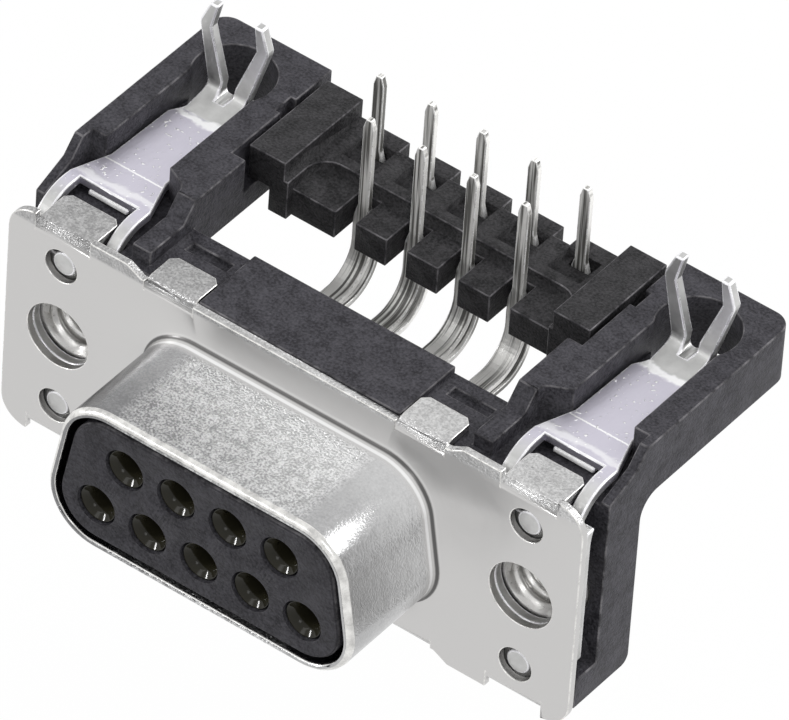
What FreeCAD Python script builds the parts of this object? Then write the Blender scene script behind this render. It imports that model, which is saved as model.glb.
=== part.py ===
import FreeCAD, Part
import math
import os
import Sketcher

# A nine-way right-angle D-subminiature socket for a board, tails up.
# Millimetres. X runs along the flange, Y from the mating side to the rear, Z up.
# The origin is on the mating axis, in the front plane of the flange.

SIZES = (
    ("screw_spacing", 24.99, "between the two screw axes"),
    ("screw_to_end", 2.91, "from a screw axis to the end of the flange"),
    ("flange_height", 12.5, "front shell, overall, at its ears"),
    ("shell_thickness", 0.38, "sheet of the front shell"),
    ("ear_radius", 1.4, "outer corners of the flange"),
    ("ear_run", 6.4, "from the end of the flange to its step"),
    ("step_drop", 0.4, "how much lower the middle of the long edges is"),
    ("screw_hole", 3.3, "diameter in the flange and the strap"),
    ("stake_offset", 4.05, "stakes above and below the screw axis"),
    ("stake_hole", 1.7, "diameter in the flange"),
    ("shroud_width", 16.33, "outside, on the wide side"),
    ("shroud_height", 7.9, "outside"),
    ("shroud_depth", 6.12, "in front of the flange"),
    ("shroud_angle", 10, "lean of the two short sides, degrees"),
    ("shroud_corner", 2.6, "outside corner radius"),
    ("shroud_root", 0.28, "chamfer at the root of the shroud, for its radius"),
    ("rim_chamfer", 0.11, "both edges at the mouth of the shroud and the insulator's edge"),
    ("end_tab_width", 2.95, "outer folded tab, centred on the screw axis"),
    ("end_tab_reach", 2.25, "rear edge of the outer tab"),
    ("inner_tab_centre", 6.75, "inner folded tab, from the middle"),
    ("inner_tab_width", 2.6, "inner folded tab"),
    ("inner_tab_reach", 2.05, "rear edge of the inner tab"),
    ("tab_top", 5.98, "outer face of the tabs, from the mating axis"),
    ("tab_bend", 0.25, "inner radius of the folds"),
    ("tab_relief", 0.2, "flat sheet between a fold and the foot of its tab"),
    ("tab_corner", 0.3, "cut at the rear corners of the tabs"),
    ("contact_spacing", 2.77, "along a row"),
    ("row_spacing", 2.84, "between the two rows"),
    ("cavity_bore", 1.93, "diameter of the nine openings"),
    ("cavity_floor", 0.45, "rear end of the cavities, in front of the flange"),
    ("insulator_gap", 0.3, "between the insulator and the shroud"),
    ("insulator_setback", 0.06, "insulator face behind the rim"),
    ("socket_bore", 1.02, "diameter that takes the mating pin"),
    ("socket_wall", 0.41, "sleeve of each contact"),
    ("socket_funnel", 0.37, "lead-in cone of each sleeve"),
    ("socket_front", 0.15, "sleeve behind the insulator face"),
    ("socket_end_wall", 0.8, "solid rear end of the sleeve"),
    ("strip_width", 1.0, "contact between its sleeve and the aligner"),
    ("strip_thickness", 0.3, "sheet of the contacts"),
    ("strip_bend", 1.8, "radius of the contact's turn, at mid-sheet"),
    ("strip_shoulder", 0.3, "full width of the strip inside the aligner"),
    ("strip_neck", 0.18, "slope from there to the tail's width, in the five-way row"),
    ("tail_width", 0.56, "tail above the aligner"),
    ("tail_first_row", 10.5, "tails of the four-way row, from the flange"),
    ("tail_row_spacing", 2.54, "between the two rows of tails"),
    ("tail_tip", 10.29, "top of the tails, from the mating axis"),
    ("tail_point", 0.5, "pointed length of the tails"),
    ("barb_width", 0.92, "over the barbs of the tails"),
    ("barb_top", 5.35, "top of the barbs of the four-way row"),
    ("barb_lift", 0.84, "how much higher the five-way row has them"),
    ("barb_height", 1.39, "length of the barbs"),
    ("barb_slope", 0.62, "upper slope of the barbs"),
    ("fit_gap", 0.05, "clearance of a pressed or stacked piece"),
    ("board_seat", 7.15, "face that lies on the board, from the mating axis"),
    ("arm_thickness", 3.0, "arms, floor to board face"),
    ("body_depth", 4.3, "rear plane of the housing's front wall"),
    ("arm_rear", 1.86, "rear end of the arms behind the second row of tails"),
    ("block_top", 5.95, "top of the raised middle"),
    ("web_top", 5.58, "top of the front wall beside it"),
    ("wall_bottom", 5.15, "bottom of the housing at its ends, below the axis"),
    ("keel_bottom", 5.57, "bottom of the housing under the folded tabs"),
    ("keel_inset", 1.1, "from the end of the flange to that lower bottom"),
    ("inner_wall", 2.2, "wall between the gap and the strap channel"),
    ("channel_gap", 0.12, "between the strap and each side of its channel"),
    ("front_wall_slim", 0.5, "the same wall beside the front of the strap"),
    ("slim_wall_reach", 5.1, "rear end of that thin stretch"),
    ("channel_floor", 5.4, "floor of the strap channel"),
    ("lock_pocket", 3.8, "round end of the strap channel, diameter"),
    ("pocket_lag", 0.18, "its centre behind the foot of the board lock"),
    ("outer_top_front", 4.45, "front end of the outer wall's top"),
    ("outer_knee_front", 3.7, "knee of the outer wall's slope, from the flange"),
    ("outer_knee_top", 6.3, "height of that knee"),
    ("outer_foot", 5.56, "lower end of that slope"),
    ("inner_shoulder", 6.26, "top of the inner wall at its front"),
    ("inner_slope", 0.8, "slope of the inner wall"),
    ("inner_front", 1.2, "front of the inner wall beside the bend"),
    ("side_pocket", 1.85, "rear face of the recess behind the strap's edge"),
    ("side_pocket_low", 3.5, "bottom of that recess, below the axis"),
    ("side_pocket_high", 5.2, "top of that recess"),
    ("arm_fillet", 1.1, "between the front wall and the arms"),
    ("arm_corner", 0.9, "rear outer corner of the arms"),
    ("arm_edge", 0.5, "rear lower edge of the arms"),
    ("ledge_top", 5.3, "ledge that carries the aligner"),
    ("ledge_step", 0.75, "aligner recess, deep into the arm"),
    ("ledge_lead", 2.7, "front of that recess before the first row of tails"),
    ("groove_width", 2.15, "groove across the top of the front wall"),
    ("groove_length", 0.55, "length of that groove"),
    ("groove_depth", 0.25, "depth of that groove"),
    ("groove_rear", 0.75, "wall behind that groove"),
    ("nub_width", 0.9, "nub on the rear of the front wall, near its ends"),
    ("nub_reach", 0.4, "how far the nub stands out"),
    ("nub_low", 1.0, "bottom of the nub"),
    ("nub_high", 1.8, "top of the nub"),
    ("latch_width", 1.0, "width of the latch bump"),
    ("latch_height", 0.28, "how far the latch bump stands out"),
    ("latch_low", 0.5, "latch bump above the ledge"),
    ("latch_top", 1.2, "top of the latch bump above the ledge"),
    ("aligner_gap", 0.25, "between the aligner's wings and the arms"),
    ("tooth_lead", 1.4, "front of the aligner's teeth before the first row of tails"),
    ("wing_lead", 1.8, "front of the aligner's ends before that row"),
    ("bar_lag", 0.65, "front of the aligner's bar behind that row"),
    ("aligner_lag", 1.21, "rear of the aligner behind the second row"),
    ("aligner_bottom", 4.05, "underside of the aligner"),
    ("aligner_bar_top", 6.15, "top of its bar"),
    ("aligner_tooth_top", 5.55, "top of its teeth"),
    ("step_radius", 1.1, "plan rounding where the bar meets its raised ends"),
    ("body_inset", 0.65, "aligner below its wings, inside the arm"),
    ("wing_overlap", 1.45, "inner side of the raised ends, inside the arm"),
    ("wing_shelf", 0.2, "step beside each raised end"),
    ("tooth_slot", 1.08, "slots between the teeth"),
    ("slot_room", 0.4, "end of those slots behind the first row of tails"),
    ("rear_notch", 0.85, "notches in the rear edge"),
    ("rear_notch_depth", 0.75, "depth of those notches"),
    ("funnel_width", 1.75, "mouth of the rear tail holes along X"),
    ("funnel_length", 1.6, "the same along Y"),
    ("funnel_lead", 1.3, "front of those mouths before the second row"),
    ("funnel_floor", 4.8, "bottom of the funnels"),
    ("strap_thickness", 0.5, "sheet of the ground straps"),
    ("strap_plate_width", 5.5, "plate behind the flange"),
    ("strap_plate_bottom", 5.0, "bottom of that plate, below the axis"),
    ("strap_corner_cut", 1.25, "cut of its lower corners"),
    ("strap_shoulder", 4.8, "top of the plate's shoulders"),
    ("strap_leg_width", 0.65, "each leg beside the window"),
    ("window_gap", 0.075, "between the end tab and each leg"),
    ("strap_window_low", 4.2, "lower edge of the window between the legs"),
    ("strap_window_rear", 3.2, "rear edge of that window"),
    ("strap_top_front", 6.3, "top of the strap behind its bend"),
    ("strap_top_rear", 5.95, "top of the strap at its joggle"),
    ("strap_bend", 1.8, "inner radius of the strap's bend"),
    ("strap_width", 3.05, "strap along the arm"),
    ("shoulder_room", 0.6, "room in the housing beside the strap's inner leg"),
    ("joggle_lead", 1.97, "joggle of the strap before its board lock"),
    ("lock_bend", 0.6, "inner radius where the board lock turns up"),
    ("lock_rise", 0.25, "rise of the strap between its joggle and the lock"),
    ("strap_lip_width", 2.2, "lip at the rear of the window"),
    ("lip_top", 6.1, "top of the lip at its root"),
    ("lip_drop", 0.65, "how far that lip hangs"),
    ("lip_cut", 0.35, "length of its lower end"),
    ("strap_taper_start", 3.3, "where the strap starts to narrow"),
    ("strap_taper_end", 5.3, "where it has narrowed"),
    ("lock_neck_width", 2.2, "foot of the board lock"),
    ("lock_spread", 3.68, "over the barbs of the board lock"),
    ("lock_lean", 0.3, "how far the board lock leans back at its tip"),
    ("lock_leg_width", 0.62, "each leg of the board lock"),
    ("lock_tip", 10.45, "top of the board lock, from the mating axis"),
    ("lock_bulge", 9.4, "height of its widest place"),
    ("lock_slot", 0.7, "foot of the slot between its legs"),
    ("slot_low", 0.1, "bottom of that slot above the strap"),
    ("slot_round", 0.3, "rounding of its lower corners"),
    ("lock_foot", 0.4, "straight foot of the legs"),
    ("barb_flat", 0.2, "upright edge of the barbs"),
    ("barb_slant", 0.42, "how far the legs turn in above the barbs"),
    ("leg_taper", 0.18, "how much narrower each leg is at its tip"),
    ("stake_pin", 1.2, "diameter of the stakes on the plate"),
    ("stake_recess", 0.2, "stakes end behind the flange's front"),
    ("insert_outer", 4.4, "threaded insert, outside diameter"),
    ("insert_thread", 2.4, "thread of the insert, inside diameter"),
    ("insert_mouth", 2.84, "countersink of the insert, diameter"),
)


class Size:
    """A number together with the sheet expression that gives it."""

    def __init__(self, value, text):
        self.value = value
        self.text = text

    def __add__(self, other):
        return joined(self, "+", other, self.value + number(other))

    def __radd__(self, other):
        return joined(other, "+", self, number(other) + self.value)

    def __sub__(self, other):
        return joined(self, "-", other, self.value - number(other))

    def __rsub__(self, other):
        return joined(other, "-", self, number(other) - self.value)

    def __mul__(self, other):
        return joined(self, "*", other, self.value * number(other))

    def __rmul__(self, other):
        return joined(other, "*", self, number(other) * self.value)

    def __truediv__(self, other):
        return joined(self, "/", other, self.value / number(other))

    def __neg__(self):
        return Size(-self.value, "(0 - " + self.text + ")")


def number(size):
    return size.value if isinstance(size, Size) else float(size)


def text(size):
    return size.text if isinstance(size, Size) else "%.6f" % size


def joined(left, sign, right, value):
    return Size(value, "(" + text(left) + " " + sign + " " + text(right) + ")")


def tangent(angle):
    return Size(math.tan(math.radians(number(angle))), "tan(" + text(angle) + ")")


def vector(*sizes):
    return FreeCAD.Vector(*[number(size) for size in sizes])


# The document, its sheet of sizes, and the sizes by name

doc = FreeCAD.newDocument("d_sub_connector")
sheet = doc.addObject("Spreadsheet::Sheet", "Sizes")
dim = {}
for row, (alias, value, meaning) in enumerate(SIZES, start=1):
    sheet.set("A%d" % row, alias)
    sheet.set("B%d" % row, str(value))
    sheet.set("C%d" % row, meaning)
    sheet.setAlias("B%d" % row, alias)
    dim[alias] = Size(float(value), "Sizes." + alias)
doc.recompute()

zero = Size(0.0, "0")
screw_x = dim["screw_spacing"] / 2
half_flange = screw_x + dim["screw_to_end"]
row_high = dim["row_spacing"] / 2
flange_back = dim["shell_thickness"]
tail_second_row = dim["tail_first_row"] + dim["tail_row_spacing"]
lock_y = dim["tail_first_row"] + dim["tail_row_spacing"] / 2
joggle_y = lock_y - dim["joggle_lead"]
arm_reach = tail_second_row + dim["arm_rear"]
channel_in = screw_x - dim["strap_width"] / 2 - dim["channel_gap"]
channel_out = screw_x + dim["strap_width"] / 2 + dim["channel_gap"]
arm_inner = channel_in - dim["inner_wall"]
window_half = dim["end_tab_width"] / 2 + dim["window_gap"]
neck_half = window_half + dim["strap_leg_width"]
insulator_face = dim["insulator_setback"] - dim["shroud_depth"]
plate_front = flange_back + dim["fit_gap"] / 2
plate_back = plate_front + dim["strap_thickness"]
five_way = [place * dim["contact_spacing"] for place in (-2, -1, 0, 1, 2)]
four_way = [x + dim["contact_spacing"] / 2 for x in five_way[:-1]]

# How far a cutting shape runs past the piece it cuts, mm
PAST = 1

# Each plane's origin feature, and whether its normal follows the axis named first
PLANES = {"XY": ("XY_Plane", 1), "XZ": ("XZ_Plane", -1), "YZ": ("YZ_Plane", 1)}


def bind(thing, path, size):
    thing.setExpression(path, text(size))


def new_body(label):
    body = doc.addObject("PartDesign::Body", label)
    body.Label = label
    return body


def origin_plane(body, role):
    return [plane for plane in body.Origin.OriginFeatures if plane.Role == role][0]


def new_sketch(body, name, plane, height):
    """A sketch parallel to an origin plane, at a height along that plane's axis."""
    role, sense = PLANES[plane]
    sketch = body.newObject("Sketcher::SketchObject", name)
    sketch.AttachmentSupport = (origin_plane(body, role), "")
    sketch.MapMode = "FlatFace"
    bind(sketch, "AttachmentOffset.Base.z", sense * height if sense < 0 else height)
    return sketch


def hold(sketch, kind, *where_and_size):
    """A dimension in a sketch that follows its size on the sheet."""
    *where, size = where_and_size
    place = sketch.addConstraint(Sketcher.Constraint(kind, *where, number(size)))
    sketch.setExpression("Constraints[%d]" % place, text(size))


def draw_circle(sketch, centre, radius):
    ring = sketch.addGeometry(Part.Circle(vector(*centre, 0), FreeCAD.Vector(0, 0, 1), number(radius)))
    hold(sketch, "DistanceX", -1, 1, ring, 3, centre[0])
    hold(sketch, "DistanceY", -1, 1, ring, 3, centre[1])
    hold(sketch, "Radius", ring, radius)


def corner_arc(before, corner, after, radius):
    """Where the rounding of a corner starts and ends, its centre, and whether it turns left."""
    incoming = (corner - before).normalize()
    outgoing = (after - corner).normalize()
    turn = incoming.x * outgoing.y - incoming.y * outgoing.x
    angle = math.atan2(turn, incoming.dot(outgoing))
    trim = radius * math.tan(abs(angle) / 2)
    start = corner - incoming * trim
    side = FreeCAD.Vector(-incoming.y, incoming.x, 0) * math.copysign(radius, turn)
    return start, corner + outgoing * trim, start + side, turn > 0


def draw_outline(sketch, corners):
    """A closed outline through its corners; a third value rounds a corner by that radius."""
    points = [vector(corner[0], corner[1], 0) for corner in corners]
    count = len(corners)
    starts, ends, arcs = [], [], []
    for place, corner in enumerate(corners):
        if len(corner) == 3:
            after = points[(place + 1) % count]
            arc = corner_arc(points[place - 1], points[place], after, number(corner[2]))
            ends.append(arc[0])
            starts.append(arc[1])
            arcs.append(arc)
        else:
            ends.append(points[place])
            starts.append(points[place])
            arcs.append(None)
    lines = []
    for place in range(count):
        line = Part.LineSegment(starts[place], ends[(place + 1) % count])
        lines.append(sketch.addGeometry(line))
    for place, corner in enumerate(corners):
        incoming = lines[place - 1]
        outgoing = lines[place]
        if arcs[place] is None:
            sketch.addConstraint(Sketcher.Constraint("Coincident", incoming, 2, outgoing, 1))
            hold(sketch, "DistanceX", -1, 1, outgoing, 1, corner[0])
            hold(sketch, "DistanceY", -1, 1, outgoing, 1, corner[1])
            continue
        start, end, centre, left = arcs[place]
        circle = Part.Circle(centre, FreeCAD.Vector(0, 0, 1), number(corner[2]))
        first, last = (start, end) if left else (end, start)
        angles = [math.atan2(point.y - centre.y, point.x - centre.x) for point in (first, last)]
        arc = sketch.addGeometry(Part.ArcOfCircle(circle, *angles))
        tip = sketch.addGeometry(Part.Point(points[place]), True)
        sketch.addConstraint(Sketcher.Constraint("Tangent", incoming, 2, arc, 1 if left else 2))
        sketch.addConstraint(Sketcher.Constraint("Tangent", outgoing, 1, arc, 2 if left else 1))
        sketch.addConstraint(Sketcher.Constraint("PointOnObject", tip, 1, incoming))
        sketch.addConstraint(Sketcher.Constraint("PointOnObject", tip, 1, outgoing))
        hold(sketch, "DistanceX", -1, 1, tip, 1, corner[0])
        hold(sketch, "DistanceY", -1, 1, tip, 1, corner[1])
        hold(sketch, "Radius", arc, corner[2])


def extrude(kind, body, name, plane, start, end, shapes):
    """A pad or pocket between two heights; a shape is an outline or a (centre, radius) pair."""
    sketch = new_sketch(body, name + "_sketch", plane, start)
    for shape in shapes:
        if len(shape) == 2:
            draw_circle(sketch, *shape)
        else:
            draw_outline(sketch, shape)
    feature = body.newObject("PartDesign::" + kind, name)
    feature.Profile = sketch
    along = PLANES[plane][1] > 0
    feature.Reversed = along == (kind == "Pocket")
    bind(feature, "Length", end - start)
    sketch.Visibility = False
    return feature


def pad(body, name, plane, start, end, *shapes):
    return extrude("Pad", body, name, plane, start, end, shapes)


def pocket(body, name, plane, start, end, *shapes):
    return extrude("Pocket", body, name, plane, start, end, shapes)


def soften(kind, body, name, size, points):
    """A fillet or chamfer on each edge that passes through one of the points."""
    doc.recompute()
    base = body.Tip
    picked = []
    for place, edge in enumerate(base.Shape.Edges, start=1):
        for point in points:
            if edge.distToShape(Part.Vertex(vector(*point)))[0] < 1e-4:
                picked.append("Edge%d" % place)
                break
    feature = body.newObject("PartDesign::" + kind, name)
    feature.Base = (base, picked)
    bind(feature, "Radius" if kind == "Fillet" else "Size", size)
    return feature


def fillet(body, name, radius, *points):
    return soften("Fillet", body, name, radius, points)


def chamfer(body, name, size, *points):
    return soften("Chamfer", body, name, size, points)


def mirror_whole(body):
    """Add the other half, across the middle plane."""
    doc.recompute()
    feature = body.newObject("PartDesign::Mirrored", body.Label + "_both_halves")
    feature.MirrorPlane = (origin_plane(body, "YZ_Plane"), [""])
    feature.TransformMode = "Whole shape"
    body.Tip = feature


def rectangle(left, low, right, high):
    return [(left, low), (right, low), (right, high), (left, high)]


def half_d_outline(shrink):
    """Right half of the D of the shroud, wide side down, inside it by shrink."""
    angle = dim["shroud_angle"]
    radius = dim["shroud_corner"] - shrink
    half_height = dim["shroud_height"] / 2 - shrink
    lean = tangent(angle)
    wide_corner = dim["shroud_width"] / 2 - shrink - radius + radius / tangent((90 - angle) / 2)
    narrow_corner = wide_corner - 2 * half_height * lean
    return [
        (Size(0.0, "0"), -half_height),
        (wide_corner, -half_height, radius),
        (narrow_corner, half_height, radius),
        (Size(0.0, "0"), half_height),
    ]


# Front shell: flange, drawn shroud and eight folded tabs, one sheet

def tab_spans():
    """Inner and outer edge of each folded tab on the right half, with its reach."""
    end_in = screw_x - dim["end_tab_width"] / 2
    end_out = screw_x + dim["end_tab_width"] / 2
    inner_in = dim["inner_tab_centre"] - dim["inner_tab_width"] / 2
    inner_out = dim["inner_tab_centre"] + dim["inner_tab_width"] / 2
    return (
        ("end", end_in, end_out, dim["end_tab_reach"]),
        ("inner", inner_in, inner_out, dim["inner_tab_reach"]),
    )


def tab_foot():
    """Height at which a folded tab leaves the flat of the flange."""
    return dim["tab_top"] - dim["shell_thickness"] - dim["tab_bend"] - dim["tab_relief"]


def long_edge(sign):
    """The long edge of the flange on its right half, from the ear to the middle."""
    top = dim["flange_height"] / 2
    middle = top - dim["step_drop"]
    fold_low = tab_foot()
    step_out = half_flange - dim["ear_run"]
    (_, end_in, end_out, _), (_, inner_in, inner_out, _) = tab_spans()
    edge = [
        (half_flange, top, dim["ear_radius"]),
        (end_out, top),
        (end_out, fold_low),
        (end_in, fold_low),
        (end_in, top),
        (step_out, top),
        (inner_out + dim["tab_relief"], middle),
        (inner_out, middle),
        (inner_out, fold_low),
        (inner_in, fold_low),
        (inner_in, middle),
        (zero, middle),
    ]
    return [(corner[0], sign * corner[1], *corner[2:]) for corner in edge]


def folded_tab(sign, reach):
    """Side view of a tab, folded back from the long edge."""
    thickness = dim["shell_thickness"]
    bend = dim["tab_bend"]
    top = dim["tab_top"]
    low = tab_foot()
    corners = [
        (zero, low),
        (zero, top, bend + thickness),
        (reach, top),
        (reach, top - thickness),
        (thickness, top - thickness, bend),
        (thickness, low),
    ]
    return [(corner[0], sign * corner[1], *corner[2:]) for corner in corners]


def front_shell():
    body = new_body("front_shell")
    thickness = dim["shell_thickness"]
    outline = long_edge(1) + list(reversed(long_edge(-1)))
    pad(body, "flange", "XZ", zero, thickness, outline)
    pad(body, "shroud", "XZ", -dim["shroud_depth"], thickness / 2, half_d_outline(zero))
    pocket(body, "shroud_inside", "XZ", -dim["shroud_depth"], thickness, half_d_outline(thickness))
    for name, inner, outer, reach in tab_spans():
        for side, sign in (("upper", 1), ("lower", -1)):
            pad(body, name + "_tab_" + side, "YZ", inner, outer, folded_tab(sign, reach))
            middle = sign * (dim["tab_top"] - thickness / 2)
            corners = ((inner, reach, middle), (outer, reach, middle))
            chamfer(body, name + "_tab_corners_" + side, dim["tab_corner"], *corners)
    stakes = [((screw_x, sign * dim["stake_offset"]), dim["stake_hole"] / 2) for sign in (1, -1)]
    screw = ((screw_x, zero), dim["screw_hole"] / 2)
    pocket(body, "holes", "XZ", zero, thickness, screw, *stakes)
    half_height = dim["shroud_height"] / 2
    near_middle = dim["contact_spacing"] / 2
    chamfer(body, "shroud_root", dim["shroud_root"], (near_middle, zero, half_height))
    mouth = -dim["shroud_depth"]
    rim = ((near_middle, mouth, half_height), (near_middle, mouth, half_height - thickness))
    chamfer(body, "rim", dim["rim_chamfer"], *rim)
    mirror_whole(body)


# Insulator housing: the face with nine openings, front wall and two arms, one moulding

def side_wall_outline():
    """Side view of the outer wall of the housing and its arm."""
    underside = dim["board_seat"] - dim["arm_thickness"]
    depth = dim["body_depth"]
    return [
        (flange_back, -dim["wall_bottom"]),
        (depth, -dim["wall_bottom"], dim["arm_edge"]),
        (depth, underside, dim["arm_fillet"]),
        (arm_reach, underside, dim["arm_edge"]),
        (arm_reach, dim["board_seat"]),
        (dim["outer_top_front"], dim["board_seat"]),
        (dim["outer_knee_front"], dim["outer_knee_top"]),
        (dim["side_pocket"], dim["outer_foot"]),
        (dim["side_pocket"], dim["side_pocket_high"]),
        (flange_back, dim["side_pocket_high"]),
    ]


def inner_wall_outline():
    """Side view of the wall between the gap and the strap channel."""
    underside = dim["board_seat"] - dim["arm_thickness"]
    depth = dim["body_depth"]
    return [
        (flange_back, zero),
        (depth, zero),
        (depth, underside, dim["arm_fillet"]),
        (arm_reach, underside, dim["arm_edge"]),
        (arm_reach, dim["board_seat"]),
        (depth, dim["board_seat"]),
        (depth - dim["inner_slope"], dim["inner_shoulder"]),
        (dim["inner_front"], dim["inner_shoulder"]),
        (dim["inner_front"], dim["web_top"]),
        (flange_back, dim["web_top"]),
    ]


def channel_floor_outline():
    """Side view of the housing under the strap."""
    underside = dim["board_seat"] - dim["arm_thickness"]
    depth = dim["body_depth"]
    return [
        (flange_back, -dim["wall_bottom"]),
        (depth, -dim["wall_bottom"], dim["arm_edge"]),
        (depth, underside, dim["arm_fillet"]),
        (arm_reach, underside, dim["arm_edge"]),
        (arm_reach, dim["channel_floor"]),
        (plate_back + dim["strap_bend"] / 2, dim["channel_floor"]),
        (flange_back, dim["channel_floor"] - dim["strap_bend"]),
    ]


def bend_room_outline(top):
    """Side view of the room that the strap's bend needs in the housing, up to a height."""
    floor = dim["channel_floor"]
    bend = dim["strap_bend"]
    slant_end = plate_back + bend / 2
    corners = [
        (flange_back - PAST, floor - bend),
        (flange_back, floor - bend),
    ]
    if number(top) < number(floor):
        slant = (slant_end - flange_back) / bend
        return corners + [(flange_back + slant * (top - floor + bend), top), (flange_back - PAST, top)]
    bend_rear = dim["body_depth"] - PAST
    return corners + [(slant_end, floor), (bend_rear, floor), (bend_rear, top),
                      (flange_back - PAST, top)]


def strap_plate_outline(centre, grow):
    """Front view of the strap's plate behind the flange, larger by grow."""
    half = dim["strap_plate_width"] / 2 + grow
    low = -dim["strap_plate_bottom"] - grow
    cut = dim["strap_corner_cut"]
    return [
        (centre - half + cut, low),
        (centre + half - cut, low),
        (centre + half, low + 2 * cut),
        (centre + half, dim["strap_shoulder"]),
        (centre - half, dim["strap_shoulder"]),
        (centre - half, low + 2 * cut),
    ]


def insulator_housing():
    body = new_body("insulator_housing")
    depth = dim["body_depth"]
    seat = dim["board_seat"]
    gap = dim["fit_gap"]
    outer_face = half_flange
    keel_out = outer_face - dim["keel_inset"]
    (_, end_tab_in, end_tab_out, end_tab_reach), (_, inner_tab_in, _, _) = tab_spans()
    block_side = inner_tab_in - gap
    front_wall = [
        (zero, -dim["keel_bottom"]),
        (keel_out, -dim["keel_bottom"]),
        (keel_out, zero),
        (block_side, zero),
        (block_side, dim["block_top"]),
        (zero, dim["block_top"]),
    ]
    pad(body, "front_wall", "XZ", flange_back, depth, front_wall)
    web = rectangle(block_side - PAST, zero, arm_inner + PAST, dim["web_top"])
    pad(body, "web", "XZ", flange_back, depth, web)
    fold_room = dim["tab_bend"] + gap
    upper_fold = (dim["inner_tab_centre"], flange_back, dim["web_top"])
    lower_fold = (dim["inner_tab_centre"], flange_back, -dim["keel_bottom"])
    chamfer(body, "fold_room", fold_room, upper_fold, lower_fold)
    pad(body, "outer_side_wall", "YZ", channel_out, outer_face, side_wall_outline())
    pad(body, "inner_side_wall", "YZ", arm_inner, channel_in, inner_wall_outline())
    pad(body, "channel_base", "YZ", channel_in, channel_out, channel_floor_outline())
    neck_in = screw_x - neck_half - gap
    neck_out = screw_x + neck_half + gap
    pocket(body, "strap_bend_room", "YZ", neck_in, neck_out, bend_room_outline(seat + PAST))
    plate_in = screw_x - dim["strap_plate_width"] / 2 - gap
    plate_out = screw_x + dim["strap_plate_width"] / 2 + gap
    shoulder_top = dim["strap_shoulder"] + gap
    pocket(body, "plate_shoulder_room", "YZ", plate_in, plate_out, bend_room_outline(shoulder_top))
    shoulder_in = neck_in - dim["shoulder_room"]
    shoulder = [
        (shoulder_in, flange_back),
        (channel_in + gap, flange_back),
        (channel_in + gap, dim["strap_taper_end"]),
        (shoulder_in, dim["strap_taper_end"] - dim["shoulder_room"], dim["shoulder_room"]),
    ]
    pocket(body, "strap_shoulder_room", "XY", dim["channel_floor"], seat, shoulder)
    under_tab = dim["tab_top"] - dim["shell_thickness"] - gap
    anvil = rectangle(end_tab_in, zero, end_tab_out, under_tab)
    pad(body, "tab_anvil", "XZ", plate_back + gap, end_tab_reach + gap, anvil)
    slim_out = outer_face - dim["front_wall_slim"]
    slim = rectangle(channel_out - PAST, dim["side_pocket"], slim_out, dim["slim_wall_reach"])
    pocket(body, "slim_stretch", "XY", dim["channel_floor"], seat, slim)
    corner = dim["arm_corner"]
    outer_rear = [
        (outer_face - corner * 2, arm_reach + PAST),
        (outer_face - corner * 2, arm_reach),
        (outer_face, arm_reach, corner),
        (outer_face, arm_reach - corner * 2),
        (outer_face + PAST, arm_reach - corner * 2),
        (outer_face + PAST, arm_reach + PAST),
    ]
    pocket(body, "arm_outer_corner", "XY", zero, seat, outer_rear)
    ledge_front = dim["tail_first_row"] - dim["ledge_lead"]
    inner_recess = rectangle(arm_inner - PAST, ledge_front, arm_inner + dim["ledge_step"], arm_reach + PAST)
    pocket(body, "aligner_recess", "XY", dim["ledge_top"], seat, inner_recess)
    wing_face = arm_inner + dim["ledge_step"]
    half_latch = dim["latch_width"] / 2 + gap
    notch_end = wing_face + dim["latch_height"]
    latch = rectangle(wing_face - gap, lock_y - half_latch, notch_end, lock_y + half_latch)
    pocket(body, "latch_notch", "XY", dim["ledge_top"] + dim["latch_low"] - gap, seat, latch)
    pocket_y = lock_y + dim["pocket_lag"]
    arm_end = rectangle(channel_in - gap, pocket_y, channel_out + gap, arm_reach)
    pad(body, "arm_end", "XY", dim["channel_floor"] - gap, seat, arm_end)
    pocket(body, "lock_hole", "XY", zero, seat, ((screw_x, pocket_y), dim["lock_pocket"] / 2))
    groove_in = (block_side + arm_inner - dim["groove_width"]) / 2
    groove_rear = depth - dim["groove_rear"]
    groove_out = groove_in + dim["groove_width"]
    groove = rectangle(groove_in, groove_rear - dim["groove_length"], groove_out, groove_rear)
    pocket(body, "web_groove", "XY", dim["web_top"] - dim["groove_depth"], dim["web_top"], groove)
    pocket(body, "plate_seat", "XZ", flange_back, plate_back + gap, strap_plate_outline(screw_x, gap))
    side = rectangle(channel_out, -dim["side_pocket_low"], outer_face + PAST, dim["side_pocket_high"])
    pocket(body, "side_recess", "XZ", flange_back, dim["side_pocket"], side)
    insert_bore = dim["insert_outer"] / 2 + gap / 2
    pocket(body, "insert_bore", "XZ", zero, depth, ((screw_x, zero), insert_bore))
    nose = half_d_outline(dim["shell_thickness"] + dim["insulator_gap"])
    pad(body, "nose", "XZ", insulator_face, plate_back, nose)
    nose_bottom = nose[0][1]
    chamfer(body, "nose_edge", dim["rim_chamfer"], (dim["contact_spacing"] / 4, insulator_face, nose_bottom))
    nub_out = outer_face - dim["keel_inset"] / 2
    nub = rectangle(nub_out - dim["nub_width"], dim["nub_low"], nub_out, dim["nub_high"])
    pad(body, "rear_nub", "XZ", depth, depth + dim["nub_reach"], nub)
    cavities(body)
    mirror_whole(body)


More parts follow.
